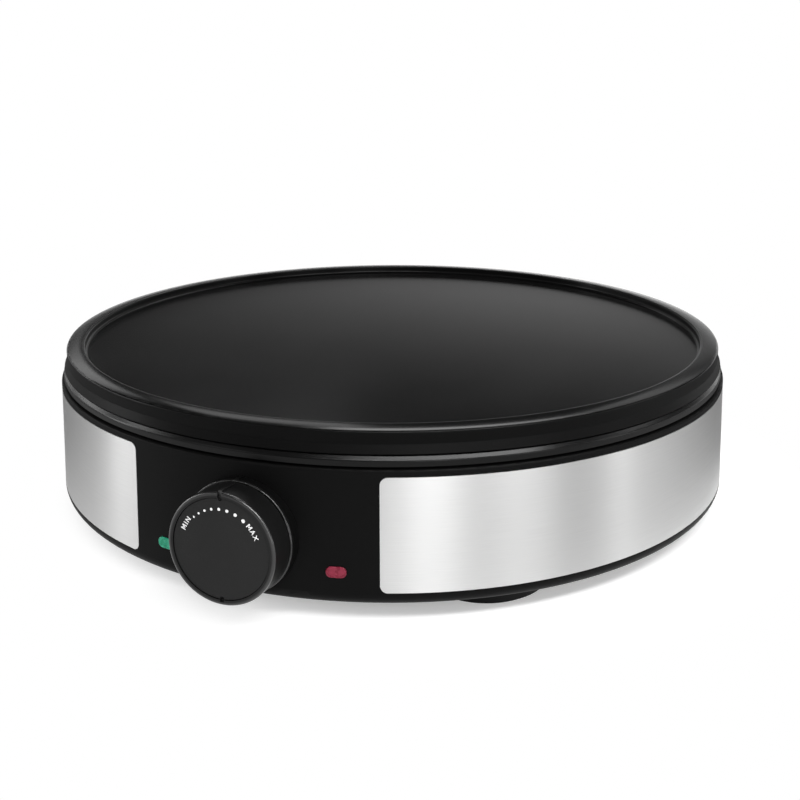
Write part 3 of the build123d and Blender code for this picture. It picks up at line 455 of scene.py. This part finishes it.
FINISHES = {
    "plate_coating": non_stick_coat(),
    "black_moulding": moulding("black_moulding_grain", 0.0026, 0.48, 0.08, edge=BOSS_EDGE),
    "knob_plastic": moulding("knob_satin", 0.0050, 0.38, 0.3, grain_depth=0.012 * MM, edge=KNOB_EDGE),
    "dial_plastic": moulding("dial_matte", 0.0145, 0.55, 0.15, grain_scale=3000.0),
    "brushed_panel": brushed_steel(),
    "foot_rubber": rubber("foot_rubber_dusty", 0.012),
    "green_lens": pilot_lens("green_lens_prisms", rgb(0.004, 0.21, 0.11), rgb(0.035, 0.36, 0.22)),
    "red_lens": pilot_lens("red_lens_prisms", rgb(0.145, 0.008, 0.021), rgb(0.255, 0.022, 0.05)),
    "neon_glass": dielectric("neon_glass_frosted", rgb(0.55, 0.5, 0.45), rgb(0.4, 0.36, 0.32), 0.12),
    "lamp_holder": dielectric("lamp_holder_nylon", rgb(0.62, 0.6, 0.54), rgb(0.5, 0.48, 0.42), 0.45),
    "zinc_steel": metal("zinc_plate", rgb(0.62, 0.63, 0.64), rgb(0.42, 0.43, 0.46), 0.34),
    "sheet_steel": metal("aluminised_sheet", rgb(0.5, 0.51, 0.52), rgb(0.36, 0.36, 0.37), 0.4, lines=900.0),
    "element_sheath": metal("element_sheath_heated", rgb(0.16, 0.14, 0.12), rgb(0.08, 0.07, 0.065), 0.5),
    "ceramic": dielectric("ceramic_bead", rgb(0.72, 0.68, 0.6), rgb(0.6, 0.56, 0.48), 0.5),
    "copper_tube": metal("copper_dull", rgb(0.72, 0.36, 0.22), rgb(0.4, 0.19, 0.12), 0.36),
    "thermostat_case": dielectric("thermostat_case_brown", rgb(0.10, 0.05, 0.03), rgb(0.06, 0.03, 0.02), 0.4),
    "block_plastic": dielectric("block_nylon", rgb(0.7, 0.69, 0.64), rgb(0.58, 0.57, 0.52), 0.42),
    "brass_terminal": metal("brass_tarnished", rgb(0.68, 0.5, 0.24), rgb(0.4, 0.28, 0.13), 0.33),
    "wire_brown": dielectric("wire_brown_sleeve", rgb(0.12, 0.05, 0.025), rgb(0.08, 0.03, 0.015), 0.45),
    "wire_blue": dielectric("wire_blue_sleeve", rgb(0.02, 0.09, 0.3), rgb(0.015, 0.06, 0.2), 0.45),
    "wire_earth": dielectric("wire_green_yellow", rgb(0.5, 0.45, 0.04), rgb(0.06, 0.25, 0.05), 0.45),
    "sleeve_white": dielectric("sleeve_glass_fibre", rgb(0.72, 0.72, 0.69), rgb(0.55, 0.55, 0.52), 0.6),
}
RING_MOULDING = moulding("ring_moulding", 0.0022, 0.25, 0.23, worn=(RING_R, RING_TOP, 1.2 * MM))
WHITE_PRINT = dielectric("white_print", grey(0.8), grey(0.68), 0.5, specular=0.3, depth=0.004 * MM)

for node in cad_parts.values():
    node.data.materials[0] = FINISHES[node.data.materials[0].name]
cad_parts["trim_ring"].data.materials[0] = RING_MOULDING


# ---- Turned pieces ----------------------------------------------------------------------------------

def grown(name, tree, values, points=()):
    """A plain mesh object made by a geometry tree from points, with the tree's inputs set by name."""
    given = bpy.data.meshes.new(name + "_maker")
    given.from_pydata(list(points), [], [])
    maker = bpy.data.objects.new(name + "_maker", given)
    scene.collection.objects.link(maker)
    modifier = maker.modifiers.new("tree", "NODES")
    modifier.node_group = tree
    for item in tree.interface.items_tree:
        if item.in_out == "INPUT" and item.name in values:
            modifier[item.identifier] = values[item.name]
    evaluated = maker.evaluated_get(bpy.context.evaluated_depsgraph_get())
    mesh = bpy.data.meshes.new_from_object(evaluated)
    bpy.data.objects.remove(maker)
    mesh.name = name
    piece = bpy.data.objects.new(name, mesh)
    scene.collection.objects.link(piece)
    return piece


def turned_group():
    """Turns an outline, given as points in order in the XZ plane, round the vertical axis."""
    g, given, result = node_group(
        "turned_piece", "GeometryNodeTree",
        [("Outline", GEOMETRY, None), ("Segments", INTEGER, SEGMENTS), ("Material", MATERIAL, None)],
        [("Geometry", GEOMETRY)],
    )
    count = g.add("GeometryNodeAttributeDomainSize", given["Outline"])
    grid = g.add("GeometryNodeMeshGrid", 1.0, 1.0, g.math("ADD", given["Segments"], 1.0), count)
    index = g.add("GeometryNodeInputIndex")
    spoke = g.math("FLOOR", g.math("DIVIDE", g.math("ADD", index, 0.5), count))
    along = g.math("SUBTRACT", index, g.math("MULTIPLY", spoke, count))
    angle = g.math("MULTIPLY", g.math("DIVIDE", spoke, given["Segments"]), 2 * pi)
    outline = g.add("GeometryNodeSampleIndex", data_type="FLOAT_VECTOR", named={
        "Geometry": given["Outline"], "Value": g.add("GeometryNodeInputPosition"), "Index": along})
    r, _, z = g.split(outline)
    place = g.add(
        "ShaderNodeCombineXYZ", g.math("MULTIPLY", r, g.math("SINE", angle)),
        g.math("MULTIPLY", r, g.math("MULTIPLY", g.math("COSINE", angle), -1.0)), z,
    )
    shell = g.add("GeometryNodeSetPosition", named={"Geometry": grid, "Position": place})
    closed = g.add("GeometryNodeMergeByDistance", named={"Geometry": shell, "Distance": SEAM})
    outward = g.add("GeometryNodeFlipFaces", closed)
    smooth = g.add("GeometryNodeSetShadeSmooth", named={"Geometry": outward, "Shade Smooth": True})
    real = g.add("GeometryNodeRealizeInstances", smooth)
    g.feed(result["Geometry"], g.add("GeometryNodeSetMaterial", named={
        "Geometry": real, "Material": given["Material"]}))
    return g.tree


def bosses_group():
    """A round boss that hangs from each given point."""
    g, given, result = node_group(
        "bosses", "GeometryNodeTree",
        [("Points", GEOMETRY, None), ("Radius", FLOAT, 0.005), ("Height", FLOAT, 0.01),
         ("Material", MATERIAL, None)],
        [("Geometry", GEOMETRY)],
    )
    rod = g.add("GeometryNodeMeshCylinder", named={
        "Vertices": BOSS_SIDES, "Radius": given["Radius"], "Depth": given["Height"]})
    low = g.add("ShaderNodeCombineXYZ", 0.0, 0.0, g.math("MULTIPLY", given["Height"], -0.5))
    hung = g.add("GeometryNodeTransform", named={"Geometry": rod, "Translation": low})
    bosses = g.add("GeometryNodeInstanceOnPoints", named={"Points": given["Points"], "Instance": hung})
    real = g.add("GeometryNodeRealizeInstances", bosses)
    g.feed(result["Geometry"], g.add("GeometryNodeSetMaterial", named={
        "Geometry": real, "Material": given["Material"]}))
    return g.tree


def rounded(corners):
    """An outline of (radius, height, rounding) corners as points, each rounding a fine arc with a short
    straight lead on either side, so that flat faces shade flat right up to it."""
    points = []
    for i, (r, z, rounding) in enumerate(corners):
        here = Vector((r, 0, z))
        if not rounding:
            points.append(here)
            continue
        before = (Vector((corners[i - 1][0], 0, corners[i - 1][1])) - here).normalized()
        after = (Vector((corners[i + 1][0], 0, corners[i + 1][1])) - here).normalized()
        half = before.angle(after) / 2
        back = rounding / tan(half)
        middle = here + (before + after).normalized() * rounding / sin(half)
        first, last = here + before * back, here + after * back
        steps = max(2, round((pi - 2 * half) / ARC_STEP))
        points.append(first + before * LEAD)
        for k in range(steps + 1):
            points.append(middle + (first - middle).slerp(last - middle, k / steps) * rounding)
        points.append(last + after * LEAD)
    return points


def all_round(azimuths, r, z):
    """A point at each azimuth, on a circle round the vertical axis."""
    return [(r * sin(radians(a)), -r * cos(radians(a)), z) for a in azimuths]


def turned_piece(name, corners, material, node):
    """A finely turned piece that stands for a solid of the base."""
    piece = grown(name, TURNED, {"Material": material}, rounded(corners))
    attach(piece, "base")
    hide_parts(node)


def make_hot_plate():
    cook_z = PLATE_TOP - DISH_DEPTH
    web_z = cook_z - WEB_T
    land_z = web_z - LAND_H
    skirt_z = PLATE_TOP - SKIRT_H
    wall_r = PLATE_R - RIM_W
    skirt_in = SKIRT_R - SKIRT_W
    crown = ((PLATE_R - inset, PLATE_TOP - down, rounding) for inset, down, rounding in RIM_CROWN)
    turned_piece("hot_plate_turned", [
        (0, cook_z, 0), (wall_r, cook_z, DISH_ROUND), (wall_r, PLATE_TOP - RIM_IN_DOWN, RIM_IN_ROUND),
        *crown,
        (PLATE_R, PLATE_TOP - SKIRT_STRAIGHT, SOFT), (SKIRT_R, skirt_z, HARD),
        (skirt_in, skirt_z, HARD), (skirt_in, web_z, SOFT),
        (LAND_OUT, web_z, SOFT), (LAND_OUT, land_z, SOFT), (LAND_IN, land_z, SOFT),
        (LAND_IN, web_z, SOFT), (0, web_z, 0),
    ], FINISHES["plate_coating"], "hot_plate")
    for name, azimuths, pitch_r, r, h in BOSSES_BELOW:
        bosses = grown(name, BOSSES, {
            "Radius": r, "Height": h + BOSS_SUNK, "Material": FINISHES["plate_coating"],
        }, all_round(azimuths, pitch_r, web_z + BOSS_SUNK))
        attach(bosses, "base")


def make_trim_ring():
    groove_r = RING_R - GROOVE_DEPTH
    ring_foot = RING_TOP - RING_H
    wall_top = ring_foot - GROOVE_H
    bore = RING_R - RING_W
    turned_piece("trim_ring_turned", [
        (bore, COLLAR_LOW, 0), (bore, RING_TOP, HARD), (RING_R - RING_BEVEL_IN, RING_TOP, RING_BEVEL_ROUND),
        (RING_R, RING_TOP - RING_BEVEL_DOWN, RING_BEVEL_ROUND), (RING_R, ring_foot, RING_ROUND),
        (groove_r, ring_foot, HARD), (groove_r, wall_top, HARD),
        (bore + COLLAR_T, wall_top, HARD), (bore + COLLAR_T, COLLAR_LOW, HARD), (bore, COLLAR_LOW, 0),
    ], RING_MOULDING, "trim_ring")


TURNED = turned_group()
BOSSES = bosses_group()
make_hot_plate()
make_trim_ring()


# ---- Scale on the knob ------------------------------------------------------------------------------

def knob_place(depth):
    """A frame on the knob's axis, a depth behind its front face: x to the right, y up, z outwards."""
    turn = Matrix.Rotation(pi / 2 - AXIS_LEAN, 4, "X")
    return Matrix.Translation(KNOB_POINT) @ turn @ Matrix.Translation((0, 0, -depth))


def dot_row_group():
    """A row of round dots on an arc that grow from the first to the last."""
    g, given, result = node_group(
        "dot_row", "GeometryNodeTree",
        [("Count", INTEGER, 5), ("Arc radius", FLOAT, 0.01), ("First angle", FLOAT, 0.0),
         ("Last angle", FLOAT, 1.0), ("Spread", FLOAT, 0.0), ("First radius", FLOAT, 0.001),
         ("Last radius", FLOAT, 0.001), ("Thickness", FLOAT, 0.0001), ("Material", MATERIAL, None)],
        [("Geometry", GEOMETRY)],
    )
    index = g.add("GeometryNodeInputIndex")
    share = g.math("DIVIDE", index, g.math("SUBTRACT", given["Count"], 1.0))
    eased = g.between(given["Spread"], share, g.math("MULTIPLY", share, share))
    angle = g.span(eased, given["First angle"], given["Last angle"])
    size = g.span(share, given["First radius"], given["Last radius"])
    place = g.add(
        "ShaderNodeCombineXYZ", g.math("MULTIPLY", given["Arc radius"], g.math("SINE", angle)),
        g.math("MULTIPLY", given["Arc radius"], g.math("COSINE", angle)),
    )
    points = g.add("GeometryNodePoints", given["Count"], place)
    dot = g.add("GeometryNodeMeshCylinder", named={
        "Vertices": DOT_SIDES, "Radius": 1.0, "Depth": given["Thickness"]})
    dots = g.add("GeometryNodeInstanceOnPoints", named={
        "Points": points, "Instance": dot, "Scale": g.add("ShaderNodeCombineXYZ", size, size, 1.0)})
    real = g.add("GeometryNodeRealizeInstances", dots)
    g.feed(result["Geometry"], g.add("GeometryNodeSetMaterial", named={
        "Geometry": real, "Material": given["Material"]}))
    return g.tree


def make_dots():
    """The row of dots, each sunk into the disc by half its thickness."""
    dots = grown("scale_dots", dot_row_group(), {
        "Count": DOT_COUNT, "Arc radius": DOT_R, "First angle": radians(DOT_FIRST),
        "Last angle": radians(DOT_LAST), "Spread": DOT_SPREAD, "First radius": DOT_SMALL,
        "Last radius": DOT_LARGE, "Thickness": 2 * MARK_T, "Material": WHITE_PRINT,
    })
    dots.data.transform(knob_place(DISC_SUNK))
    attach(dots, "knob")


def letter_outline(letter):
    """One letter as a flat mesh, from its drawn corners if it has some, or else from the font."""
    if letter in DRAWN_LETTERS:
        corners = DRAWN_LETTERS[letter]
        mesh = bpy.data.meshes.new("letter")
        mesh.from_pydata([(x, y, 0) for x, y in corners], [], [range(len(corners))])
        return mesh
    curve = bpy.data.curves.new("letter", "FONT")
    curve.body = letter
    curve.offset = LETTER_BOLD
    holder = bpy.data.objects.new("letter", curve)
    scene.collection.objects.link(holder)
    mesh = bpy.data.meshes.new_from_object(holder.evaluated_get(bpy.context.evaluated_depsgraph_get()))
    bpy.data.objects.remove(holder)
    return mesh


def letter_mesh(letter):
    """One letter as a thin closed mesh of the letter height, centred on its width."""
    mesh = letter_outline(letter)
    xs = [v.co.x for v in mesh.vertices]
    ys = [v.co.y for v in mesh.vertices]
    scale = LETTER_H / (max(ys) - min(ys))
    solid = bmesh.new()
    solid.from_mesh(mesh)
    raised = bmesh.ops.extrude_face_region(solid, geom=list(solid.faces))["geom"]
    for part in raised:
        if isinstance(part, bmesh.types.BMVert):
            part.co.z += MARK_T / scale
    bmesh.ops.recalc_face_normals(solid, faces=list(solid.faces))
    solid.verts.sort(key=lambda vert: vert.co.dot(LETTER_ORDER))
    solid.faces.sort(key=lambda face: face.calc_center_median().dot(LETTER_ORDER))
    solid.to_mesh(mesh)
    solid.free()
    middle = Vector(((max(xs) + min(xs)) / 2, (max(ys) + min(ys)) / 2, 0))
    mesh.transform(Matrix.Scale(scale, 4) @ Matrix.Translation(-middle))
    return mesh


def make_word(word, radius, angles):
    """The letters of a word set round the dial, with their feet towards its middle."""
    joined = bmesh.new()
    for letter, angle in zip(word, angles):
        mesh = letter_mesh(letter)
        mesh.transform(Matrix.Rotation(-radians(angle), 4, "Z") @ Matrix.Translation((0, radius, 0)))
        joined.from_mesh(mesh)
    mesh = bpy.data.meshes.new("scale_" + word.lower())
    joined.to_mesh(mesh)
    joined.free()
    mesh.materials.append(WHITE_PRINT)
    mesh.transform(knob_place(DISC_SUNK))
    piece = bpy.data.objects.new(mesh.name, mesh)
    scene.collection.objects.link(piece)
    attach(piece, "knob")


make_dots()
for word, radius, angles in WORDS:
    make_word(word, radius, angles)


# ---- Floor, light and camera ------------------------------------------------------------------------

# Light levels, where 1 is white
PAPER = 0.88                        # how pale the floor is
PAPER_GLOW = 0.34                   # its own light, which only shows directly and in reflections
PAPER_HALF = 30.0                   # half of its side, in metres
PAPER_MIDDLE = (0.017, 0.004)       # middle of the shadow
PAPER_NEAR, PAPER_FAR = 0.134, 0.186   # metres from it between which the floor turns plain white
KEY_SIDE = radians(20.0)            # azimuth of the studio's bright side
PAPER_BACK, PAPER_FRONT = -0.12, 0.15   # metres along it between which mirrored paper brightens
PAPER_DIM, PAPER_BRIGHT = 0.2, 0.8
FILL_LIGHT = 0.26                   # light on matte surfaces from all round
ROOM_LIGHT = 0.1                    # the studio's front, where glossy surfaces see it
FRONT_ENDS, BACK_STARTS = -0.2, 0.5   # direction along Y between which the front turns into the back
BAND_LIGHT = 1.1                    # bright band along the back's horizon
BAND_TOP = (0.05, 0.14)             # sine of the elevations between which it ends
WALL_LIGHT, WALL_DARK = 0.61, 0.0   # the back wall, from below upwards
WALL_FALL = (0.17, 0.285)           # sine of the elevations between which it darkens
WALL_TURN = (-0.62, -0.12)          # direction along X between which it brightens to the right
WALL_LEFT, WALL_RIGHT = 0.25, 1.4
SOFTBOX_AIM = Vector((0, 0, 0.04))
SOFTBOXES = (                       # name, azimuth, distance, height, width, length (m), radiance
    ("key_box", 40, 0.78, 0.93, 1.1, 0.26, 13.5),
    ("back_high", 190, 0.9, 1.15, 0.7, 0.5, 7.0),
    ("back_left", 212, 1.4, 0.88, 0.4, 0.32, 1.6),
    ("left_back", 234.5, 1.48, 0.64, 0.6, 0.28, 1.5),
    ("back_right", 171, 1.34, 0.8, 0.5, 0.32, 1.0),
    ("front_left", -38, 1.3, 0.76, 0.5, 0.5, 1.3),
    ("front_strip", 34, 1.5, 0.45, 0.42, 0.9, 3.4),
    ("side_wide", 62, 1.6, 0.45, 0.5, 0.9, 2.1),
    ("right_strip", 94, 1.4, 0.45, 0.14, 0.9, 4.8),
    ("right_high", 118, 1.0, 0.73, 0.5, 0.26, 2.6),
    ("left_strip", -73, 1.4, 0.45, 0.17, 0.9, 8.5),
    ("left_low", -92, 1.4, 0.45, 0.8, 0.2, 3.4),
)

CAMERA_AZIMUTH = 20.93
CAMERA_DISTANCE = 526.08 * MM       # from the plate's axis, along the floor
CAMERA_HEIGHT = 207.33 * MM
CAMERA_AIM = (0.365, 17.98, 0.0726)   # degrees to the right of the axis, down, and of roll
CAMERA_LENS = 50.99


def make_floor():
    """Pale paper that keeps the shadow. Further out it glows up to white, but lights nothing by that."""
    mesh = bpy.data.meshes.new("floor")
    corners = [(x * PAPER_HALF, y * PAPER_HALF, 0) for x, y in ((-1, -1), (1, -1), (1, 1), (-1, 1))]
    mesh.from_pydata(corners, [], [(0, 1, 2, 3)])
    floor = bpy.data.objects.new("floor", mesh)
    scene.collection.objects.link(floor)
    material = bpy.data.materials.new("floor_paper")
    material.use_nodes = True
    g = Graph(material.node_tree)
    material.node_tree.nodes.remove(material.node_tree.nodes["Principled BSDF"])
    x, y, _ = g.split(g.add("ShaderNodeTexCoord", out=3))
    off_x, off_y = (g.math("SUBTRACT", value, middle) for value, middle in zip((x, y), PAPER_MIDDLE))
    away = g.length(off_x, off_y)
    forward = g.math(
        "SUBTRACT", g.math("MULTIPLY", x, sin(KEY_SIDE)), g.math("MULTIPLY", y, cos(KEY_SIDE)))
    mirrored_glow = g.ramp(forward, PAPER_BACK, PAPER_FRONT, PAPER_DIM, PAPER_BRIGHT)
    path = g.add_node("ShaderNodeLightPath").outputs
    mirrored = g.math("MAXIMUM", path["Is Glossy Ray"], path["Is Transmission Ray"])
    seen = g.math("MAXIMUM", path["Is Camera Ray"], mirrored)
    level = g.between(mirrored, 1.0, mirrored_glow)
    far = g.math("MULTIPLY", g.ramp(away, PAPER_NEAR, PAPER_FAR), seen)
    paper = g.add("ShaderNodeBsdfDiffuse", grey(PAPER))
    near_glow = g.add("ShaderNodeEmission", grey(1.0), g.math("MULTIPLY", seen, PAPER_GLOW))
    near = g.add("ShaderNodeAddShader", paper, near_glow)
    white = g.add("ShaderNodeEmission", grey(1.0), level)
    both = g.add("ShaderNodeMixShader", far, near, white)
    g.feed(material.node_tree.nodes["Material Output"].inputs["Surface"], both)
    mesh.materials.append(material)


def make_world():
    """White where it is seen directly. Glossy surfaces see a studio that is dim in front, with a bright band
    along the horizon behind, and over it a wall that darkens upwards and to the left."""
    world = bpy.data.worlds.new("studio")
    world.use_nodes = True
    scene.world = world
    g = Graph(world.node_tree)
    path = g.add_node("ShaderNodeLightPath").outputs
    x, y, z = g.split(g.add("ShaderNodeTexCoord", out=0))
    behind = g.ramp(y, FRONT_ENDS, BACK_STARTS)
    to_right = g.ramp(x, *WALL_TURN, WALL_LEFT, WALL_RIGHT)
    upwards = g.ramp(z, *WALL_FALL, WALL_LIGHT, WALL_DARK, smooth=False)
    band = g.ramp(z, *BAND_TOP, BAND_LIGHT, 0.0)
    back = g.math("ADD", band, g.math("MULTIPLY", upwards, to_right))
    room = g.between(behind, ROOM_LIGHT, back)
    mirrored = g.math("MAXIMUM", path["Is Glossy Ray"], path["Is Transmission Ray"])
    level = g.between(mirrored, FILL_LIGHT, room)
    level = g.between(path["Is Camera Ray"], level, 1.0)
    g.feed(world.node_tree.nodes["Background"].inputs["Color"], grey(1.0))
    g.feed(world.node_tree.nodes["Background"].inputs["Strength"], level)


def softbox(name, azimuth, distance, height, width, length, radiance):
    """A rectangular soft light at an azimuth, turned towards the object, of a given radiance."""
    light = bpy.data.lights.new(name, "AREA")
    light.shape = "RECTANGLE"
    light.size, light.size_y = width, length
    light.energy = radiance * pi * width * length
    lamp = bpy.data.objects.new(name, light)
    a = radians(azimuth)
    lamp.location = (distance * sin(a), -distance * cos(a), height)
    lamp.rotation_euler = (SOFTBOX_AIM - lamp.location).to_track_quat("-Z", "Y").to_euler()
    lamp.visible_camera = False
    scene.collection.objects.link(lamp)


def make_camera():
    yaw, pitch, roll = (radians(a) for a in CAMERA_AIM)
    level_right = Vector((cos(yaw), -sin(yaw), 0))
    level_up = Vector((sin(yaw) * sin(pitch), cos(yaw) * sin(pitch), cos(pitch)))
    back = level_right.cross(level_up)
    right = cos(roll) * level_right - sin(roll) * level_up
    up = sin(roll) * level_right + cos(roll) * level_up
    aim = Matrix((right, up, back)).transposed().to_4x4()
    stand = Matrix.Translation((0, -CAMERA_DISTANCE, CAMERA_HEIGHT))
    data = bpy.data.cameras.new("camera")
    data.lens = CAMERA_LENS
    camera = bpy.data.objects.new("camera", data)
    camera.matrix_world = Matrix.Rotation(radians(CAMERA_AZIMUTH), 4, "Z") @ stand @ aim
    scene.collection.objects.link(camera)
    scene.camera = camera


make_floor()
make_world()
for box in SOFTBOXES:
    softbox(*box)
make_camera()
scene.view_settings.view_transform = "Standard"
